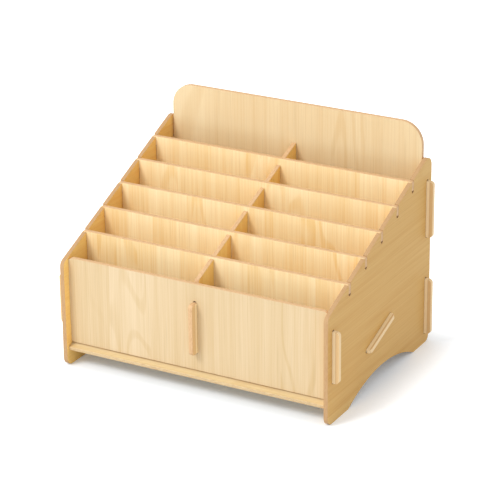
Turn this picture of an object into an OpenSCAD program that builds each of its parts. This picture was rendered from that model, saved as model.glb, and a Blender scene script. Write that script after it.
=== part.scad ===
// Knock-down plywood desk organizer: two columns of six sloping compartments for phones.
// Eleven flat panels hold each other with tabs, slots and half laps, and nothing else.
// X runs to the right, Y to the back and Z up. The origin is on the table, in the middle.

/* [Plywood] */
// Thickness of the plywood that every panel is cut from
ply = 3; // [2.5:0.1:4]
// Clearance on each side of a tab, slot or lap
fit = 0.1; // [0.05:0.05:0.2]
// How much longer a slot is than its tab, at each end
slot_end = 1; // [0.6:0.1:2]
// Corner radius of the tabs
tab_corner = 2.5; // [1:0.5:3]

/* [Compartments] */
// Clear width of one compartment
bay_w = 97.5; // [75:0.5:120]
// Clear depth of one compartment, front to back
bay_d = 20.6; // [16:0.2:26]

/* [Side panels] */
// Height of the sloping top edge where it passes the front panel's face
slope_z = 79.5; // [76:0.5:95]
// Angle of the sloping top edge
slope_angle = 22.5; // [18:0.5:26]
// How far the side panels stand out in front of the front panel
side_front = 6; // [4:0.5:12]
// How far the side panels stand out behind the back panel
side_rear = 5; // [4.5:0.5:12]
// Length of the front foot
front_foot = 30; // [20:1:45]
// Length of the rear foot
rear_foot = 24.5; // [18:0.5:40]
// Height of the arch between the feet
arch_rise = 11.8; // [6:0.2:16]
// Corner radius under the front foot
front_foot_corner = 6; // [2:0.5:10]
// Corner radius under the rear foot
rear_foot_corner = 5; // [2:0.5:10]
// Corner radius where the slope starts
slope_start_corner = 5; // [2:0.5:10]
// Corner radius where the slope ends
slope_end_corner = 7; // [2:0.5:12]

/* [Front panel] */
// Height of the lower edge above the table
front_low = 16.5; // [15:0.5:24]
// Height of the upper edge above the table
front_top = 79; // [76:0.5:95]
// Radius of the two upper corners
front_corner = 3; // [1:0.5:8]
// Height of the tabs at its ends and of the centre divider's tabs
short_tab = 36.5; // [24:0.5:42]
// Height of the middle of the front tabs above the table
front_tab_z = 47.5; // [44:0.5:52]
// How far the front and back panels' tabs stand out from the side panels
tab_out = 5; // [3:0.5:9]

/* [Back panel] */
// Height of the lower edge above the table
back_low = 4; // [2:0.5:6]
// Height of the upper edge above the table
back_top = 162.5; // [145:0.5:190]
// Radius of the two upper corners
back_corner = 16; // [4:1:30]
// How much narrower each side is than the space between the side panels
back_inset = 0.8; // [0.2:0.1:0.9]
// Height of each of its four tabs
long_tab = 41; // [30:0.5:44]
// Height of the middle of the lower tabs above the table
low_tab_z = 28.5; // [28:0.5:32]
// Height of the middle of the upper tabs above the table
high_tab_z = 101; // [84:0.5:104]

/* [Floor] */
// Angle of the floor
floor_angle = 19; // [12:0.5:22]
// How far the floor's front edge stands out from the front panel
floor_ledge = 4; // [3:0.5:5.5]
// Length of the tab at each end of the floor, along its slope
floor_tab = 39; // [24:0.5:50]
// Distance from the front panel's face back to the middle of the floor's tabs
floor_tab_y = 68.5; // [50:0.5:90]
// How far the floor's tabs stand out from the side panels
floor_tab_out = 3.5; // [2:0.5:8]

/* [Centre divider] */
// How far its top edge lies below the slope at the first cross divider
centre_drop_front = 0.8; // [0.5:0.1:6]
// How far its top edge lies below the slope at the back panel
centre_drop_rear = 5.2; // [0.5:0.1:10]
// How far its front tab stands out from the front panel
centre_tab_out = 6.5; // [3:0.5:9]
// How far its rear tab stands out from the back panel
centre_tail_out = 4; // [2:0.5:9]
// Height of the middle of its rear tab above the table
centre_tail_z = 98; // [90:0.5:106]

/* [Cross dividers] */
// Depth of the notch in the slope that holds the end of a cross divider
notch_depth = 8.5; // [5:0.5:14]
// Corner radius at the ends of a cross divider's top edge
divider_corner = 1; // [0.5:0.1:2]

/* [Hidden] */

$fn = 64;
arch_fn = 240;
rows = 6;
// Overshoot of a cut past the face that it opens
over = 1;

face_veneer = "#f3dab0";
side_veneer = "#cfa66c";
inner_veneer = "#eccb96";

slot_w = ply + 2 * fit;
inner_w = 2 * bay_w + ply;
outer_w = inner_w + 2 * ply;
pitch = bay_d + ply;

// The crosswise panels stand at Y = 0 (front panel), pitch, 2 * pitch and so on; the finished
// model is then moved forward so that the origin lies in the middle of its depth.
back_y = rows * pitch;
side_front_y = -side_front;
side_rear_y = back_y + ply + side_rear;
front_reach = max(side_front, centre_tab_out);
rear_reach = ply + max(side_rear, centre_tail_out);
to_origin = (front_reach - back_y - rear_reach) / 2;

function divider_y(k) = k * pitch;
function slope_at(y) = slope_z + y * tan(slope_angle);

// The floor's upper face just clears the front panel's lower rear edge.
function floor_at(y) = front_low - fit + (y - ply) * tan(floor_angle);
floor_start_y = -floor_ledge;
floor_end_y = back_y - fit - ply * sin(floor_angle);

function divider_top(k) = slope_at(divider_y(k) + ply / 2);
function divider_low(k) = floor_at(divider_y(k) + ply) + fit;
function notch_end(k) = slope_at(divider_y(k) + ply / 2) - notch_depth;
centre_front_z = slope_at(pitch) - centre_drop_front;
centre_rise = (slope_at(back_y) - centre_drop_rear - centre_front_z) / (back_y - pitch);
function centre_top(y) = centre_front_z + (y - pitch) * centre_rise;
// The two halves of each lap meet half way up the centre divider.
function lap_z(k) = (divider_low(k) + centre_top(divider_y(k))) / 2;

// What rounding removes from a corner in the plane. The corner's two edges leave it along
// the unit vectors to_a and to_b.
module corner_waste(at, to_a, to_b, r) {
    half = acos(to_a * to_b) / 2;
    middle = (to_a + to_b) / norm(to_a + to_b);
    centre = at + middle * r / sin(half);
    out_a = (to_a * cos(half) - middle) / sin(half);
    out_b = (to_b * cos(half) - middle) / sin(half);
    reach = r / tan(half);
    difference() {
        polygon([
            at - middle * over / sin(half),
            at + to_a * reach + out_a * over,
            centre,
            at + to_b * reach + out_b * over
        ]);
        translate(centre) circle(r);
    }
}

// A slot with round ends, centred, for a tab of the given length along Y.
module slot(tab) {
    straight = tab + 2 * slot_end - slot_w;
    square([slot_w, straight], center = true);
    for (end = [-1, 1]) translate([0, end * straight / 2]) circle(slot_w / 2);
}

// A tab along X from x = 0 to x = out, centred on Y, with its two free corners rounded.
module tab(out, height) {
    difference() {
        translate([-over, -height / 2]) square([out + over, height]);
        for (end = [-1, 1])
            corner_waste([out, end * height / 2], [-1, 0], [0, -end], tab_corner);
    }
}

// A flat panel cut from the plywood: the outline lies in X and Z, its front face at y.
module cut_across(y) {
    translate([0, to_origin + y + ply, 0]) rotate([90, 0, 0]) linear_extrude(ply) children();
}

// A flat panel cut from the plywood: the outline lies in Y and Z, its left face at x.
module cut_along(x) {
    translate([x, to_origin, 0]) rotate([90, 0, 90]) linear_extrude(ply) children();
}

module side_outline() {
    arch_span = side_rear_y - rear_foot - side_front_y - front_foot;
    arch_r = (arch_span * arch_span / 4 + arch_rise * arch_rise) / (2 * arch_rise);
    uphill = [cos(slope_angle), sin(slope_angle)];
    difference() {
        polygon([
            [side_front_y, 0], [side_rear_y, 0],
            [side_rear_y, slope_at(side_rear_y)], [side_front_y, slope_at(side_front_y)]
        ]);
        translate([side_front_y + front_foot + arch_span / 2, arch_rise - arch_r])
            circle(arch_r, $fn = arch_fn);
        corner_waste([side_front_y, 0], [1, 0], [0, 1], front_foot_corner);
        corner_waste([side_rear_y, 0], [-1, 0], [0, 1], rear_foot_corner);
        corner_waste([side_front_y, slope_at(side_front_y)], uphill, [0, -1], slope_start_corner);
        corner_waste([side_rear_y, slope_at(side_rear_y)], -uphill, [0, -1], slope_end_corner);
        translate([ply / 2, front_tab_z]) slot(short_tab);
        for (z = [low_tab_z, high_tab_z]) translate([back_y + ply / 2, z]) slot(long_tab);
        translate([floor_tab_y, floor_at(floor_tab_y)]) rotate(floor_angle)
            translate([0, -ply / 2]) rotate(-90) slot(floor_tab);
        for (k = [1 : rows - 1]) divider_notch(k);
    }
}

// The notch for cross divider k, open at the slope and round at its bottom.
module divider_notch(k) {
    translate([divider_y(k) + ply / 2, notch_end(k) + slot_w / 2]) {
        circle(slot_w / 2);
        translate([-slot_w / 2, 0]) square([slot_w, notch_depth + 2 * ply]);
    }
}

module side_panel(x) {
    color(side_veneer) cut_along(x) side_outline();
}

module left_side_panel() {
    side_panel(-outer_w / 2);
}

module right_side_panel() {
    side_panel(inner_w / 2);
}

module front_panel() {
    half_w = inner_w / 2 - fit;
    color(face_veneer) cut_across(0) difference() {
        union() {
            translate([-half_w, front_low]) square([2 * half_w, front_top - front_low]);
            for (side = [0, 1]) mirror([side, 0])
                translate([half_w, front_tab_z]) tab(fit + ply + tab_out, short_tab);
        }
        for (side = [0, 1]) mirror([side, 0])
            corner_waste([half_w, front_top], [-1, 0], [0, -1], front_corner);
        translate([0, front_tab_z]) slot(short_tab);
    }
}

module back_panel() {
    half_w = inner_w / 2 - back_inset;
    color(face_veneer) cut_across(back_y) difference() {
        union() {
            translate([-half_w, back_low]) square([2 * half_w, back_top - back_low]);
            for (side = [0, 1]) mirror([side, 0])
                for (z = [low_tab_z, high_tab_z])
                    translate([half_w, z]) tab(back_inset + ply + tab_out, long_tab);
        }
        for (side = [0, 1]) mirror([side, 0])
            corner_waste([half_w, back_top], [-1, 0], [0, -1], back_corner);
        translate([0, centre_tail_z]) slot(short_tab);
    }
}

module slanted_floor() {
    half_w = inner_w / 2 - fit;
    along = 1 / cos(floor_angle);
    front_end = (floor_start_y - floor_tab_y) * along;
    rear_end = (floor_end_y - floor_tab_y) * along;
    color(inner_veneer)
        translate([0, to_origin + floor_tab_y, floor_at(floor_tab_y)]) rotate([floor_angle, 0, 0])
            translate([0, 0, -ply]) linear_extrude(ply) {
                translate([-half_w, front_end]) square([2 * half_w, rear_end - front_end]);
                for (side = [0, 1]) mirror([side, 0])
                    translate([half_w, 0]) tab(fit + ply + floor_tab_out, floor_tab);
            }
}

module centre_divider() {
    front_y = ply + fit;
    rear_y = back_y - fit;
    color(inner_veneer) cut_along(-ply / 2) difference() {
        union() {
            polygon([
                [front_y, floor_at(front_y) + fit], [rear_y, floor_at(rear_y) + fit],
                [rear_y, centre_top(rear_y)], [front_y, centre_top(front_y)]
            ]);
            translate([front_y, front_tab_z]) mirror([1, 0])
                tab(front_y + centre_tab_out, short_tab);
            translate([rear_y, centre_tail_z]) tab(fit + ply + centre_tail_out, short_tab);
        }
        for (k = [1 : rows - 1])
            translate([divider_y(k) - fit, lap_z(k) - fit])
                square([slot_w, centre_top(divider_y(k)) - lap_z(k) + 2 * ply]);
    }
}

module cross_divider(k) {
    half_w = inner_w / 2 - fit;
    top_z = divider_top(k);
    ear_low = notch_end(k) + slot_w / 2;
    color(inner_veneer) cut_across(divider_y(k)) difference() {
        union() {
            translate([-half_w, divider_low(k)]) square([2 * half_w, top_z - divider_low(k)]);
            translate([-outer_w / 2, ear_low]) square([outer_w, top_z - ear_low]);
        }
        for (side = [0, 1]) mirror([side, 0])
            corner_waste([outer_w / 2, top_z], [-1, 0], [0, -1], divider_corner);
        translate([-slot_w / 2, divider_low(k) - over])
            square([slot_w, lap_z(k) + over - divider_low(k)]);
    }
}

left_side_panel();
right_side_panel();
front_panel();
back_panel();
slanted_floor();
centre_divider();
cross_divider(1);  // cross_divider_1
cross_divider(2);  // cross_divider_2
cross_divider(3);  // cross_divider_3
cross_divider(4);  // cross_divider_4
cross_divider(5);  // cross_divider_5
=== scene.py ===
"""Looks of a plywood phone rack: veneers, plywood edges, eased corners, camera, light and floor."""
import math

import bmesh
import bpy
from mathutils import Euler, Matrix, Vector


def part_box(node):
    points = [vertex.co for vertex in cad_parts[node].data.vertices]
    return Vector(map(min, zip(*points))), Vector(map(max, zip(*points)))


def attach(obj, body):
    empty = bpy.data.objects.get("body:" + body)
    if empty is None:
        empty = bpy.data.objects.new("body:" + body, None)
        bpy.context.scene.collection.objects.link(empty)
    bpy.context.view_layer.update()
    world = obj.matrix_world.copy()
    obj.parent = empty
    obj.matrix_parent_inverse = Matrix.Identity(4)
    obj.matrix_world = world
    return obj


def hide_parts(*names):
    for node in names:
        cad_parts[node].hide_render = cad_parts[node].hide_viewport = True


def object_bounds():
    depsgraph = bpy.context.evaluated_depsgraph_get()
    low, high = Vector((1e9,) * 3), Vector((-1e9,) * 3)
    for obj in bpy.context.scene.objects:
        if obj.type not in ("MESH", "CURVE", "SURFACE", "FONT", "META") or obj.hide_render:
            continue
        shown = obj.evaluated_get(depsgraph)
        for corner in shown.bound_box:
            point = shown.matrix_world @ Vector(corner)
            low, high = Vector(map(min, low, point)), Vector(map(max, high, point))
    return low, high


bl_info = {
    "name": "Plywood phone rack",
    "version": (1, 0, 0),
    "blender": (4, 5, 0),
    "location": "View3D > Sidebar > Rack",
    "description": "Finishes the panels of a plywood phone rack and sets its stage",
    "category": "Object",
}

MM = 0.001

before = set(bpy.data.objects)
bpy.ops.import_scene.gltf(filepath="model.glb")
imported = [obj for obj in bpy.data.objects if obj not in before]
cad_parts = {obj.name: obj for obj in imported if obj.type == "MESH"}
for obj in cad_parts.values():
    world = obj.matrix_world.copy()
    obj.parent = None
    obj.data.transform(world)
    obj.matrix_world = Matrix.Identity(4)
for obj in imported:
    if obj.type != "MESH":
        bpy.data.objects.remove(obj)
CAD_LOW, CAD_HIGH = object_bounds()

CROSS_DIVIDERS = [f"cross_divider_{k}" for k in range(1, 6)]
# The slope of the slanted floor in the CAD model.
SLANT_ANGLE = math.radians(19)

# How each kind of panel lies: its thickness direction, and the turn that brings a point to
# X across the grain, Y along the grain and Z through the thickness.
CROSSWISE = (Vector((0, 1, 0)), Euler((-math.pi / 2, 0, 0)))
LENGTHWISE = (Vector((1, 0, 0)), Euler((0, math.pi / 2, 0)))
LENGTHWISE_UPRIGHT = (Vector((1, 0, 0)), Euler((0, math.pi / 2, math.pi / 2)))
SLANTED = (
    Vector((0, -math.sin(SLANT_ANGLE), math.cos(SLANT_ANGLE))),
    Euler((-SLANT_ANGLE, 0, math.pi / 2)),
)


def srgb(red, green, blue):
    """A colour given in 0 to 255, as the linear colour that sockets take."""
    def linear(value):
        value /= 255
        return value / 12.92 if value <= 0.04045 else ((value + 0.055) / 1.055) ** 2.4

    return (linear(red), linear(green), linear(blue), 1.0)


def colour_property(name, description, default):
    return bpy.props.FloatVectorProperty(
        name=name, description=description, subtype="COLOR", size=4, min=0, max=1, default=default
    )


class RackLooks(bpy.types.PropertyGroup):
    """Sizes and colours of the finish."""

    eased: bpy.props.FloatProperty(
        name="Eased edge", description="Radius of the sanded edges of every panel",
        default=0.22 * MM, min=0.05 * MM, max=1 * MM, unit="LENGTH",
    )
    face: colour_property("Face veneer", "Pale veneer of the front panel", srgb(220, 197, 161))
    face_dark: colour_property("Face grain", "Darker grain of the pale veneer", srgb(204, 176, 131))
    back: colour_property("Back veneer", "Veneer of the back panel", srgb(230, 208, 167))
    back_dark: colour_property("Back grain", "Darker grain of the back panel", srgb(217, 187, 139))
    side: colour_property("Side veneer", "Warmer veneer of the side panels", srgb(216, 179, 114))
    side_dark: colour_property("Side grain", "Darker grain of the side veneer", srgb(198, 150, 80))
    inner: colour_property("Inner veneer", "Veneer of the cross dividers", srgb(250, 230, 186))
    inner_dark: colour_property("Inner grain", "Darker grain of the cross dividers", srgb(235, 197, 131))
    # Painted bounce light: the inner faces of the side panels take a brighter, more saturated copy of the
    # side veneer in place of light bounced between the wooden walls.
    inner_bounce_light: colour_property("Lining", "Veneer on the inner faces of the side panels", srgb(255, 217, 132))
    inner_bounce_grain: colour_property("Lining grain", "Darker grain of the lining", srgb(244, 190, 104))
    # Painted bounce light: the centre divider's veneer is brighter and more saturated than the cross
    # dividers' in place of light bounced between the compartment walls.
    centre: colour_property("Centre veneer", "Veneer of the centre divider", srgb(255, 216, 130))
    centre_dark: colour_property("Centre grain", "Grain of the centre divider", srgb(242, 188, 98))
    floor: colour_property("Floor veneer", "Veneer of the slanted floor", srgb(220, 198, 153))
    floor_dark: colour_property("Floor grain", "Darker grain of the floor", srgb(205, 175, 124))
    edge: colour_property("Plywood edge", "Cut edge of the side panels", srgb(190, 153, 110))
    rim: colour_property("Pale rim", "Cut edge of the end panels and the dividers", srgb(216, 178, 134))
    ledge: colour_property("Ledge", "Front edge of the slanted floor", srgb(220, 194, 150))
    # Painted light and shade on the tabs: the tab end is the tip colour of their cut edges, the root is a
    # painted highlight next to the slot, and the tip is painted shade on the outer part.
    tab_end: colour_property("Tab end", "Cut edge of a tab, sanded pale", srgb(232, 200, 152))
    root: colour_property("Tab root", "Clean strip of a tab next to its slot", srgb(250, 226, 182))
    tip: colour_property("Tab tip", "Ply that the sanded tip of a tab lays bare", srgb(222, 184, 130))
    # Painted shade: the walls of the slots are made dark to stand in for the shade inside the narrow
    # slots.
    slot_shade: colour_property("Slot wall", "Wall of a slot, browned by the cutter", srgb(120, 84, 52))
    # The colour below is the real core-ply grain of the cut edges, and it also paints the thin shadow line
    # on the tabs.
    core_ply_and_shade_line: colour_property("Glue line", "Core ply and glue line in the cut edge", srgb(176, 130, 84))

def looks():
    return bpy.context.scene.rack_looks


def node(tree, kind, **settings):
    made = tree.nodes.new(kind)
    for name, value in settings.items():
        setattr(made, name, value)
    return made


def feed(tree, socket, value):
    """Links the socket where the value is a socket too, and otherwise sets it."""
    if isinstance(value, bpy.types.NodeSocket):
        tree.links.new(value, socket)
    else:
        socket.default_value = value


def math_node(tree, operation, *values):
    """A Math node whose inputs are numbers or sockets."""
    made = node(tree, "ShaderNodeMath", operation=operation)
    for socket, value in zip(made.inputs, values):
        feed(tree, socket, value)
    return made.outputs[0]


# The colour sockets of a Mix node, which share their names with its other sockets.
MIX_FACTOR = 0
MIX_FIRST = 6
MIX_SECOND = 7
MIX_RESULT = 2


def mix(tree, factor, first, second):
    """The first colour at factor 0, the second at factor 1."""
    made = node(tree, "ShaderNodeMix", data_type="RGBA")
    feed(tree, made.inputs[MIX_FACTOR], factor)
    feed(tree, made.inputs[MIX_FIRST], first)
    feed(tree, made.inputs[MIX_SECOND], second)
    return made.outputs[MIX_RESULT]


def smooth_step(tree, value, low, high):
    """0 below low, 1 above high, and smooth between them."""
    made = node(tree, "ShaderNodeMapRange", interpolation_type="SMOOTHSTEP")
    tree.links.new(value, made.inputs["Value"])
    made.inputs["From Min"].default_value = low
    made.inputs["From Max"].default_value = high
    return made.outputs["Result"]


def object_point(tree):
    """Position on the piece, in metres."""
    return node(tree, "ShaderNodeTexCoord").outputs["Object"]


def axes(tree, vector):
    """The X, Y and Z of a vector, each a socket."""
    made = node(tree, "ShaderNodeSeparateXYZ")
    tree.links.new(vector, made.inputs[0])
    return made.outputs


def noise(tree, vector, scale, detail, roughness):
    """Noise over a vector in millimetres that is stretched by scale, one number per axis."""
    stretch = node(tree, "ShaderNodeVectorMath", operation="MULTIPLY")
    tree.links.new(vector, stretch.inputs[0])
    stretch.inputs[1].default_value = scale
    made = node(tree, "ShaderNodeTexNoise", noise_dimensions="3D")
    tree.links.new(stretch.outputs[0], made.inputs["Vector"])
    made.inputs["Scale"].default_value = 1.0
    made.inputs["Detail"].default_value = detail
    made.inputs["Roughness"].default_value = roughness
    return made.outputs["Fac"]


def group(name, inputs, outputs):
    tree = bpy.data.node_groups.new(name, "ShaderNodeTree")
    for label, kind in inputs:
        tree.interface.new_socket(name=label, in_out="INPUT", socket_type=kind)
    for label, kind in outputs:
        tree.interface.new_socket(name=label, in_out="OUTPUT", socket_type=kind)
    return tree, tree.nodes.new("NodeGroupInput"), tree.nodes.new("NodeGroupOutput")


# The patterns of the wood. Each has its scale across the grain, along it and through the panel,
# then its detail and its roughness.
WANDER = ((0.012, 0.001, 0.0), 2.0, 0.5)
STRIPES = ((1.1, 0.01, 0.02), 3.0, 0.6)
BROAD = ((0.16, 0.004, 0.01), 2.0, 0.5)
RINGS = ((0.034, 0.0085, 0.004), 1.0, 0.4)
PORES = ((2.4, 0.02, 0.5), 1.0, 0.5)
STREAKS = ((0.35, 0.35, 1.6), 3.0, 0.6)
FLECKS = ((2.5, 2.5, 2.5), 1.0, 0.5)

# The values of each pattern between which it sets in.
STRIPES_RANGE = (0.35, 0.7)
BROAD_RANGE = (0.3, 0.75)
RINGS_RANGE = (0.3, 1.0)
FIGURED_RANGE = (0.6, 0.7)
PORES_RANGE = (0.58, 0.76)
STREAKS_RANGE = (0.35, 0.75)
FLECKS_RANGE = (0.5, 0.8)

# How far each pattern moves the colour towards the dark one.
STRIPES_WEIGHT = 0.34
BROAD_WEIGHT = 0.3
RINGS_WEIGHT = 0.4
STRIP_WEIGHT = 0.36
PORES_WEIGHT = 0.38
STREAKS_WEIGHT = 0.5
FLECKS_WEIGHT = 0.2

# The borders of the strips wander by this many strips, and the strips come from all over a log
# of this size in millimetres, with this much phase in its rings.
WANDER_STRIPS = 1.6
LOG_SIZE = (300, 900, 0)
RING_PHASE = 42.0

# The depth of the pores next to that of the stripes, and their brightness next to the dark grain.
PORE_HEIGHT = -0.6
PORE_TONE = 0.8


def wood_grain():
    """Veneer laid in strips along Y, each strip with its own tone. All have fine and broad stripes
    and pores, and some have the arches of growth rings."""
    name = "wood_grain"
    if name in bpy.data.node_groups:
        return bpy.data.node_groups[name]
    tree, inside, outside = group(
        name,
        [("Point", "NodeSocketVector"), ("Strip Width", "NodeSocketFloat"), ("Figure", "NodeSocketFloat")],
        [("Tone", "NodeSocketFloat"), ("Pores", "NodeSocketFloat"), ("Height", "NodeSocketFloat")],
    )
    point = inside.outputs["Point"]

    wander = math_node(tree, "MULTIPLY", noise(tree, point, *WANDER), WANDER_STRIPS)
    strip = math_node(tree, "DIVIDE", axes(tree, point)["X"], inside.outputs["Strip Width"])
    strip = math_node(tree, "FLOOR", math_node(tree, "ADD", strip, wander))
    chance = node(tree, "ShaderNodeTexWhiteNoise", noise_dimensions="1D")
    tree.links.new(strip, chance.inputs["W"])
    log_place = node(tree, "ShaderNodeVectorMath", operation="MULTIPLY_ADD")
    tree.links.new(chance.outputs["Color"], log_place.inputs[0])
    log_place.inputs[1].default_value = LOG_SIZE
    tree.links.new(point, log_place.inputs[2])
    in_log = log_place.outputs[0]

    stripes = noise(tree, in_log, *STRIPES)
    broad = noise(tree, in_log, *BROAD)
    rings = math_node(tree, "MULTIPLY", noise(tree, in_log, *RINGS), RING_PHASE)
    rings = smooth_step(tree, math_node(tree, "SINE", rings), *RINGS_RANGE)
    figured = smooth_step(tree, axes(tree, chance.outputs["Color"])["Y"], *FIGURED_RANGE)
    figured = math_node(tree, "MULTIPLY", figured, inside.outputs["Figure"])
    rings = math_node(tree, "MULTIPLY", rings, figured)

    tone = math_node(tree, "MULTIPLY", smooth_step(tree, stripes, *STRIPES_RANGE), STRIPES_WEIGHT)
    broad = smooth_step(tree, broad, *BROAD_RANGE)
    tone = math_node(tree, "MULTIPLY_ADD", broad, BROAD_WEIGHT, tone)
    tone = math_node(tree, "MULTIPLY_ADD", rings, RINGS_WEIGHT, tone)
    tone = math_node(tree, "MULTIPLY_ADD", chance.outputs["Value"], STRIP_WEIGHT, tone)
    tree.links.new(tone, outside.inputs["Tone"])

    pores = smooth_step(tree, noise(tree, in_log, *PORES), *PORES_RANGE)
    tree.links.new(pores, outside.inputs["Pores"])
    height = math_node(tree, "MULTIPLY_ADD", pores, PORE_HEIGHT, stripes)
    tree.links.new(height, outside.inputs["Height"])
    return tree


# Where the outer faces of the panels that tabs go through lie, how far a tab comes out before its painted
# shade starts, and how wide the painted shadow line before it is, all in millimetres.
SIDE_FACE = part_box("right_side_panel")[1].x / MM
FRONT_FACE = -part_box("front_panel")[0].y / MM
REAR_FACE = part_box("back_panel")[1].y / MM
TIP_START = 2.2
SHADE_LINE = 0.4


def tab_tip():
    """From how far a tab has come out of the panel that it goes through, in millimetres: the masks of the
    painted highlight on the part that is out, the painted shade on its tip, and the thin painted shadow
    line before the tip."""
    name = "tab_tip"
    if name in bpy.data.node_groups:
        return bpy.data.node_groups[name]
    tree, inside, outside = group(
        name,
        [("Out", "NodeSocketFloat")],
        [("Root", "NodeSocketFloat"), ("Tip", "NodeSocketFloat"), ("Line", "NodeSocketFloat")],
    )
    out = inside.outputs["Out"]
    tree.links.new(smooth_step(tree, out, 0.0, SHADE_LINE), outside.inputs["Root"])
    tree.links.new(smooth_step(tree, out, TIP_START, TIP_START + SHADE_LINE), outside.inputs["Tip"])
    line_start = TIP_START - SHADE_LINE / 2
    line_end = TIP_START + SHADE_LINE / 2
    rise = smooth_step(tree, out, line_start, line_end)
    fall = smooth_step(tree, out, line_end, line_end + SHADE_LINE)
    tree.links.new(math_node(tree, "SUBTRACT", rise, fall), outside.inputs["Line"])
    return tree


# A seed gives each piece its own place in the patterns, this many millimetres further on.
SEED_STEP = (37.0, 211.0, 5.0)
SIDE_SEED = 1
SLOT_SHADE_SEED = 3
END_SEED = 4
DIVIDER_SEED = 8
SLANT_SEED = 17
INNER_BOUNCE_SEED = 20


def panel_point(tree, turn, seed):
    """Position on the piece in millimetres, turned so that the grain runs along Y."""
    mapping = node(tree, "ShaderNodeMapping", vector_type="POINT")
    mapping.inputs["Scale"].default_value = (1 / MM,) * 3
    mapping.inputs["Rotation"].default_value = turn
    mapping.inputs["Location"].default_value = tuple(seed * step for step in SEED_STEP)
    tree.links.new(object_point(tree), mapping.inputs["Vector"])
    return mapping.outputs["Vector"]


WOOD_ROUGHNESS = 0.62
WOOD_SHINE = 0.3
# The strength of a bump and its depth.
VENEER_BUMP = (0.25, 0.08 * MM)
EDGE_BUMP = (0.3, 0.05 * MM)
# How fully the painted highlight, shade and shadow line of the tabs cover the wood.
TAB_COVER = 0.85
LINE_COVER = 0.35


def wood_material(name):
    material = bpy.data.materials.new(name)
    material.use_nodes = True
    tree = material.node_tree
    shader = tree.nodes["Principled BSDF"]
    shader.inputs["Roughness"].default_value = WOOD_ROUGHNESS
    shader.inputs["Specular IOR Level"].default_value = WOOD_SHINE
    return material, tree, shader


def add_bump(tree, shader, height, strength, depth):
    bump = node(tree, "ShaderNodeBump")
    bump.inputs["Strength"].default_value = strength
    bump.inputs["Distance"].default_value = depth
    tree.links.new(height, bump.inputs["Height"])
    tree.links.new(bump.outputs["Normal"], shader.inputs["Normal"])


def tab_light_and_shade(tree, colour, tip_colour, tabs):
    """The colour given, with a painted highlight on the part of each tab next to its slot, a thin painted
    shadow line, and tip_colour on the tip, which on the veneer is painted shade.
    Tabs say which way they point: sideways, or forward and backward."""
    if not tabs:
        return colour
    point = axes(tree, object_point(tree))
    if tabs == "sideways":
        out = math_node(tree, "ABSOLUTE", point["X"])
        out = math_node(tree, "MULTIPLY_ADD", out, 1 / MM, -SIDE_FACE)
    else:
        forward = math_node(tree, "MULTIPLY_ADD", point["Y"], -1 / MM, -FRONT_FACE)
        backward = math_node(tree, "MULTIPLY_ADD", point["Y"], 1 / MM, -REAR_FACE)
        out = math_node(tree, "MAXIMUM", forward, backward)
    bare = node(tree, "ShaderNodeGroup", node_tree=tab_tip())
    tree.links.new(out, bare.inputs["Out"])
    # Painted highlight at the root, painted shade on the tip, painted shadow line between them.
    tones = (
        ("Root", TAB_COVER, looks().root),
        ("Tip", TAB_COVER, tip_colour),
        ("Line", LINE_COVER, looks().core_ply_and_shade_line),
    )
    for part, cover, tone in tones:
        colour = mix(tree, math_node(tree, "MULTIPLY", bare.outputs[part], cover), colour, tone)
    return colour


# The widths of the strips of veneer in millimetres, and how clearly growth rings show in them.
WIDE_STRIP = 60.0
STRIP = 26.0
NARROW_STRIP = 17.0
CLEAR_FIGURE = 0.9
FAINT_FIGURE = 0.3


def veneer_material(name, light, dark, turn, seed, strip=STRIP, figure=CLEAR_FIGURE, tabs=None):
    """Veneer whose grain goes from the light colour to the dark one."""
    material, tree, shader = wood_material(name)
    grain = node(tree, "ShaderNodeGroup", node_tree=wood_grain())
    grain.inputs["Strip Width"].default_value = strip
    grain.inputs["Figure"].default_value = figure
    tree.links.new(panel_point(tree, turn, seed), grain.inputs["Point"])
    colour = mix(tree, grain.outputs["Tone"], light, dark)
    pore_colour = tuple(part * PORE_TONE for part in dark[:3]) + (1.0,)
    pores = math_node(tree, "MULTIPLY", grain.outputs["Pores"], PORES_WEIGHT)
    colour = mix(tree, pores, colour, pore_colour)
    # Painted highlight and shade on the tabs.
    colour = tab_light_and_shade(tree, colour, looks().tip, tabs)
    tree.links.new(colour, shader.inputs["Base Color"])
    add_bump(tree, shader, grain.outputs["Height"], *VENEER_BUMP)
    return material


def edge_material(name, light, dark, turn, seed, tabs=None):
    """The cut edge: end grain and long grain of the plies, seen as short streaks."""
    material, tree, shader = wood_material(name)
    point = panel_point(tree, turn, seed)
    streaks = noise(tree, point, *STREAKS)
    flecks = smooth_step(tree, noise(tree, point, *FLECKS), *FLECKS_RANGE)
    tone = math_node(tree, "MULTIPLY", smooth_step(tree, streaks, *STREAKS_RANGE), STREAKS_WEIGHT)
    tone = math_node(tree, "MULTIPLY_ADD", flecks, FLECKS_WEIGHT, tone)
    # Painted highlight and shade on the tabs.
    colour = tab_light_and_shade(tree, mix(tree, tone, light, dark), looks().tab_end, tabs)
    tree.links.new(colour, shader.inputs["Base Color"])
    add_bump(tree, shader, streaks, *EDGE_BUMP)
    return material


# The slot walls get a dark material that paints the shade inside the slots.
def slot_shade_material(cad_node):
    name = f"{cad_node}_slot_shade_walls"
    return edge_material(name, looks().slot_shade, looks().core_ply_and_shade_line, Euler((0, 0, 0)), SLOT_SHADE_SEED)


# The places of the materials in a panel's list.
FACE, EDGE, SLOT_SHADE, INNER_BOUNCE = range(4)


def rims(work):
    """The bands of cut edge of a panel, each a list of faces: the outline first, then the slots."""
    left = {face for face in work.faces if face.material_index == EDGE}
    bands = []
    while left:
        band, fresh = [], [left.pop()]
        while fresh:
            face = fresh.pop()
            band.append(face)
            for edge in face.edges:
                for other in edge.link_faces:
                    if other in left:
                        left.discard(other)
                        fresh.append(other)
        bands.append(band)
    return sorted(bands, key=lambda band: -sum(face.calc_area() for face in band))


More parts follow.
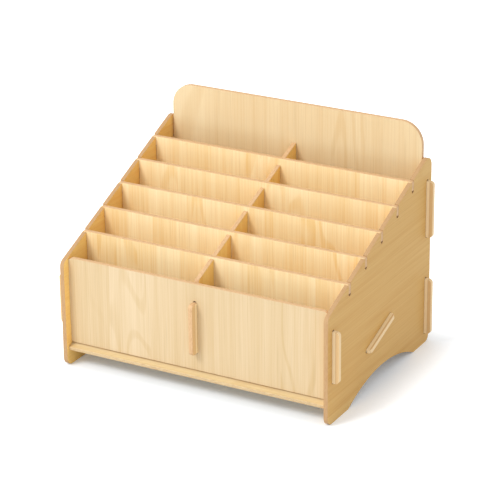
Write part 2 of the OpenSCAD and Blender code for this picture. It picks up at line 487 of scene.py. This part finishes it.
def angle_of(edge):
    return edge.calc_face_angle(0.0) if len(edge.link_faces) == 2 else math.pi


WELD = 0.002 * MM
# Faces that meet at less than this are one flat face.
LEVEL_ANGLE = math.radians(0.5)
# Edges sharper than this are eased, in this many steps of a round profile.
CORNER_ANGLE = math.radians(35)
EASED_STEPS = 3
ROUND_PROFILE = 0.5
KEEP_MATERIAL = -1
# Edges blunter than this are shaded smooth.
SMOOTH_ANGLE = math.radians(20)
# How close a face's normal lies to the thickness direction where the face has the veneer on it,
# and where it is one of a panel's two flat sides.
VENEERED = 0.98
FLAT = 0.9999


def eased_panel(cad_node):
    """A CAD panel with its flat faces merged and its corners eased."""
    work = bmesh.new()
    work.from_mesh(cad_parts[cad_node].data)
    bmesh.ops.remove_doubles(work, verts=work.verts, dist=WELD)
    bmesh.ops.dissolve_limit(work, angle_limit=LEVEL_ANGLE, verts=work.verts, edges=work.edges)
    corners = [edge for edge in work.edges if angle_of(edge) > CORNER_ANGLE]
    bmesh.ops.bevel(
        work, geom=corners, offset=looks().eased, offset_type="OFFSET", affect="EDGES",
        segments=EASED_STEPS, profile=ROUND_PROFILE, material=KEEP_MATERIAL, clamp_overlap=True,
    )
    work.normal_update()
    return work


def sort_faces(work, through, bounce_lit):
    """Gives every face its material and every edge its shading. A bounce-lit panel gets its painted bounce
    light, a brighter copy of its veneer, on the face that looks towards the middle of the rack."""
    for face in work.faces:
        face.smooth = True
        face.material_index = FACE if abs(face.normal.dot(through)) > VENEERED else EDGE
        inward = face.normal.x * face.calc_center_median().x < 0
        # Painted bounce light: veneer faces looking inwards take the brighter inner material.
        if bounce_lit and inward and face.material_index == FACE:
            face.material_index = INNER_BOUNCE
    # Painted shade: the walls of the slots take the dark slot material.
    for band in rims(work)[1:]:
        for face in band:
            face.material_index = SLOT_SHADE
    for edge in work.edges:
        beside_flat = any(abs(face.normal.dot(through)) > FLAT for face in edge.link_faces)
        edge.smooth = not beside_flat and angle_of(edge) < SMOOTH_ANGLE


def panel_piece(cad_node, through, veneer, edge, inner_bounce_light=None):
    """A copy of a CAD panel with eased edges and separate veneer and edge finishes."""
    work = eased_panel(cad_node)
    sort_faces(work, through, bool(inner_bounce_light))
    mesh = bpy.data.meshes.new(f"{cad_node}_finished")
    work.to_mesh(mesh)
    work.free()
    for material in (veneer, edge, slot_shade_material(cad_node), inner_bounce_light):
        if material:
            mesh.materials.append(material)
    piece = bpy.data.objects.new(f"{cad_node}_wood", mesh)
    bpy.context.scene.collection.objects.link(piece)
    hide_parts(cad_node)
    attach(piece, "root")
    return piece


class RACK_OT_side_panels(bpy.types.Operator):
    """Finishes the two arched side panels"""

    bl_idname = "rack.side_panels"
    bl_label = "Side panels"

    def execute(self, context):
        through, turn = LENGTHWISE
        for seed, name in enumerate(("left_side_panel", "right_side_panel"), start=SIDE_SEED):
            veneer = veneer_material(
                f"{name}_veneer", looks().side, looks().side_dark, turn, seed,
                strip=WIDE_STRIP, figure=FAINT_FIGURE,
            )
            edge = edge_material(f"{name}_edge", looks().edge, looks().core_ply_and_shade_line, turn, seed)
            # The inner faces get a painted bounce-light copy of the side veneer.
            inner_bounce_light = veneer_material(
                f"{name}_lining", looks().inner_bounce_light, looks().inner_bounce_grain, turn, seed + INNER_BOUNCE_SEED,
                strip=WIDE_STRIP, figure=FAINT_FIGURE,
            )
            panel_piece(name, through, veneer, edge, inner_bounce_light)
        return {"FINISHED"}


class RACK_OT_end_panels(bpy.types.Operator):
    """Finishes the front and back panels"""

    bl_idname = "rack.end_panels"
    bl_label = "Front and back panels"

    def execute(self, context):
        through, turn = CROSSWISE
        tones = ((looks().face, looks().face_dark), (looks().back, looks().back_dark))
        panels = zip(("front_panel", "back_panel"), tones)
        for seed, (name, tone) in enumerate(panels, start=END_SEED):
            veneer = veneer_material(f"{name}_veneer", *tone, turn, seed, tabs="sideways")
            edge = edge_material(
                f"{name}_edge", looks().rim, looks().core_ply_and_shade_line, turn, seed, "sideways"
            )
            panel_piece(name, through, veneer, edge)
        return {"FINISHED"}


class RACK_OT_dividers(bpy.types.Operator):
    """Finishes the centre divider and the cross dividers"""

    bl_idname = "rack.dividers"
    bl_label = "Dividers"

    def execute(self, context):
        plates = [("centre_divider", LENGTHWISE_UPRIGHT)] + [(n, CROSSWISE) for n in CROSS_DIVIDERS]
        for seed, (name, (through, turn)) in enumerate(plates, start=DIVIDER_SEED):
            if name == "centre_divider":
                # Painted bounce light: the centre divider takes a brighter, more saturated veneer.
                tone, tabs = (looks().centre, looks().centre_dark), "lengthways"
            else:
                tone, tabs = (looks().inner, looks().inner_dark), None
            veneer = veneer_material(
                f"{name}_veneer", *tone, turn, seed, strip=NARROW_STRIP, tabs=tabs
            )
            edge = edge_material(f"{name}_edge", looks().rim, looks().core_ply_and_shade_line, turn, seed)
            panel_piece(name, through, veneer, edge)
        return {"FINISHED"}


class RACK_OT_floor(bpy.types.Operator):
    """Finishes the slanted floor of the compartments"""

    bl_idname = "rack.slanted_floor"
    bl_label = "Slanted floor"

    def execute(self, context):
        through, turn = SLANTED
        veneer = veneer_material(
            "slanted_floor_veneer", looks().floor, looks().floor_dark, turn, SLANT_SEED, tabs="sideways"
        )
        edge = edge_material(
            "slanted_floor_edge", looks().ledge, looks().core_ply_and_shade_line, turn, SLANT_SEED, "sideways"
        )
        panel_piece("slanted_floor", through, veneer, edge)
        return {"FINISHED"}


# The camera stands to the right of the front and above it. Lengths are in metres, and the focal
# share is the focal length over the width of the sensor.
CAMERA_AZIMUTH = math.radians(29.06)
CAMERA_ELEVATION = math.radians(22.46)
CAMERA_ROLL = math.radians(-0.6)
CAMERA_DISTANCE = 1.6076
CAMERA_TARGET = Vector((0.0006, 0.00345, 0.076))
FOCAL_SHARE = 4.686
SENSOR_MM = 36.0


def aim_camera():
    data = bpy.data.cameras.new("camera")
    data.sensor_width = SENSOR_MM
    data.lens = SENSOR_MM * FOCAL_SHARE
    camera = bpy.data.objects.new("camera", data)
    back = Vector((
        math.sin(CAMERA_AZIMUTH) * math.cos(CAMERA_ELEVATION),
        -math.cos(CAMERA_AZIMUTH) * math.cos(CAMERA_ELEVATION),
        math.sin(CAMERA_ELEVATION),
    ))
    right = Vector((math.cos(CAMERA_AZIMUTH), math.sin(CAMERA_AZIMUTH), 0))
    up = back.cross(right)
    right_rolled = right * math.cos(CAMERA_ROLL) + up * math.sin(CAMERA_ROLL)
    up_rolled = up * math.cos(CAMERA_ROLL) - right * math.sin(CAMERA_ROLL)
    turn = Matrix((right_rolled, up_rolled, back)).transposed()
    camera.matrix_world = Matrix.Translation(CAMERA_TARGET + back * CAMERA_DISTANCE) @ turn.to_4x4()
    bpy.context.scene.collection.objects.link(camera)
    bpy.context.scene.camera = camera

# The light comes from the front left and from above. Places and sizes are in metres.
KEY_PLACE = (-0.85, -1.5, 1.75)
KEY_SIZE = 1.0
KEY_WATTS = 32
KEY_AIM = Vector((0, 0, 0.06))
SKY_LIGHT = 0.9
WHITE = (1, 1, 1, 1)
FLOOR_WHITE = srgb(242, 247, 252)
FLOOR_REACH = 6.0

# How much the white floor glows for the camera: a little under the rack, and more away from it,
# where it burns out to plain white. The distances are from the sides of the rack's box.
FLOOR_GLOW = 0.12
FAR_GLOW = 0.5
GLOW_START = -4 * MM
GLOW_REACH = 42 * MM


def key_light():
    """One large soft lamp."""
    data = bpy.data.lights.new("key", "AREA")
    data.shape = "DISK"
    data.size = KEY_SIZE
    data.energy = KEY_WATTS
    lamp = bpy.data.objects.new("key", data)
    lamp.location = KEY_PLACE
    lamp.rotation_mode = "QUATERNION"
    aim = KEY_AIM - Vector(KEY_PLACE)
    lamp.rotation_quaternion = aim.to_track_quat("-Z", "Y")
    bpy.context.scene.collection.objects.link(lamp)


def seen_directly(tree):
    """1 for rays from the camera and for reflections and refractions, 0 for light on the object."""
    path = node(tree, "ShaderNodeLightPath")
    seen = math_node(tree, "MAXIMUM", path.outputs["Is Camera Ray"], path.outputs["Is Glossy Ray"])
    return math_node(tree, "MAXIMUM", seen, path.outputs["Is Transmission Ray"])


def white_room():
    """Surroundings that look plain white and light the rack a little less than that."""
    world = bpy.data.worlds.new("white_room")
    bpy.context.scene.world = world
    world.use_nodes = True
    tree = world.node_tree
    background = tree.nodes["Background"]
    seen = seen_directly(tree)
    strength = math_node(tree, "MULTIPLY_ADD", seen, 1.0 - SKY_LIGHT, SKY_LIGHT)
    background.inputs["Color"].default_value = WHITE
    tree.links.new(strength, background.inputs["Strength"])


def floor_material():
    material = bpy.data.materials.new("table_white")
    material.use_nodes = True
    tree = material.node_tree
    shader = tree.nodes["Principled BSDF"]
    shader.inputs["Base Color"].default_value = FLOOR_WHITE
    shader.inputs["Roughness"].default_value = 1.0
    shader.inputs["Specular IOR Level"].default_value = 0.0
    shader.inputs["Emission Color"].default_value = WHITE
    point = axes(tree, object_point(tree))
    beside = [
        math_node(tree, "SUBTRACT", math_node(tree, "ABSOLUTE", point[axis]), reach)
        for axis, reach in (("X", CAD_HIGH[0]), ("Y", CAD_HIGH[1]))
    ]
    away = smooth_step(tree, math_node(tree, "MAXIMUM", *beside), GLOW_START, GLOW_REACH)
    glow = math_node(tree, "MULTIPLY_ADD", away, FAR_GLOW, FLOOR_GLOW)
    glow = math_node(tree, "MULTIPLY", seen_directly(tree), glow)
    tree.links.new(glow, shader.inputs["Emission Strength"])
    return material


def white_floor():
    """The plane that the rack stands on."""
    mesh = bpy.data.meshes.new("table_top")
    work = bmesh.new()
    bmesh.ops.create_grid(work, x_segments=1, y_segments=1, size=FLOOR_REACH)
    work.to_mesh(mesh)
    work.free()
    mesh.materials.append(floor_material())
    floor = bpy.data.objects.new("table_top", mesh)
    bpy.context.scene.collection.objects.link(floor)
    return floor


class RACK_OT_stage(bpy.types.Operator):
    """Sets the camera, the light and the white floor"""

    bl_idname = "rack.stage"
    bl_label = "Stage"

    def execute(self, context):
        context.scene.view_settings.view_transform = "Standard"
        aim_camera()
        key_light()
        white_room()
        floor = white_floor()
        return {"FINISHED"}


OPERATORS = (
    RACK_OT_side_panels, RACK_OT_end_panels, RACK_OT_dividers, RACK_OT_floor, RACK_OT_stage
)


class RACK_PT_looks(bpy.types.Panel):
    """Lists the steps and the values of the finish"""

    bl_label = "Plywood phone rack"
    bl_idname = "RACK_PT_looks"
    bl_space_type = "VIEW_3D"
    bl_region_type = "UI"
    bl_category = "Rack"

    def draw(self, context):
        for operator in OPERATORS:
            self.layout.operator(operator.bl_idname)
        for name in RackLooks.__annotations__:
            self.layout.prop(context.scene.rack_looks, name)


CLASSES = (RackLooks, *OPERATORS, RACK_PT_looks)


def register():
    for made in CLASSES:
        bpy.utils.register_class(made)
    bpy.types.Scene.rack_looks = bpy.props.PointerProperty(type=RackLooks)


def unregister():
    del bpy.types.Scene.rack_looks
    for made in reversed(CLASSES):
        bpy.utils.unregister_class(made)


def main():
    register()
    bpy.ops.rack.side_panels()
    bpy.ops.rack.end_panels()
    bpy.ops.rack.slanted_floor()
    bpy.ops.rack.dividers()
    bpy.ops.rack.stage()


if __name__ == "__main__":
    main()
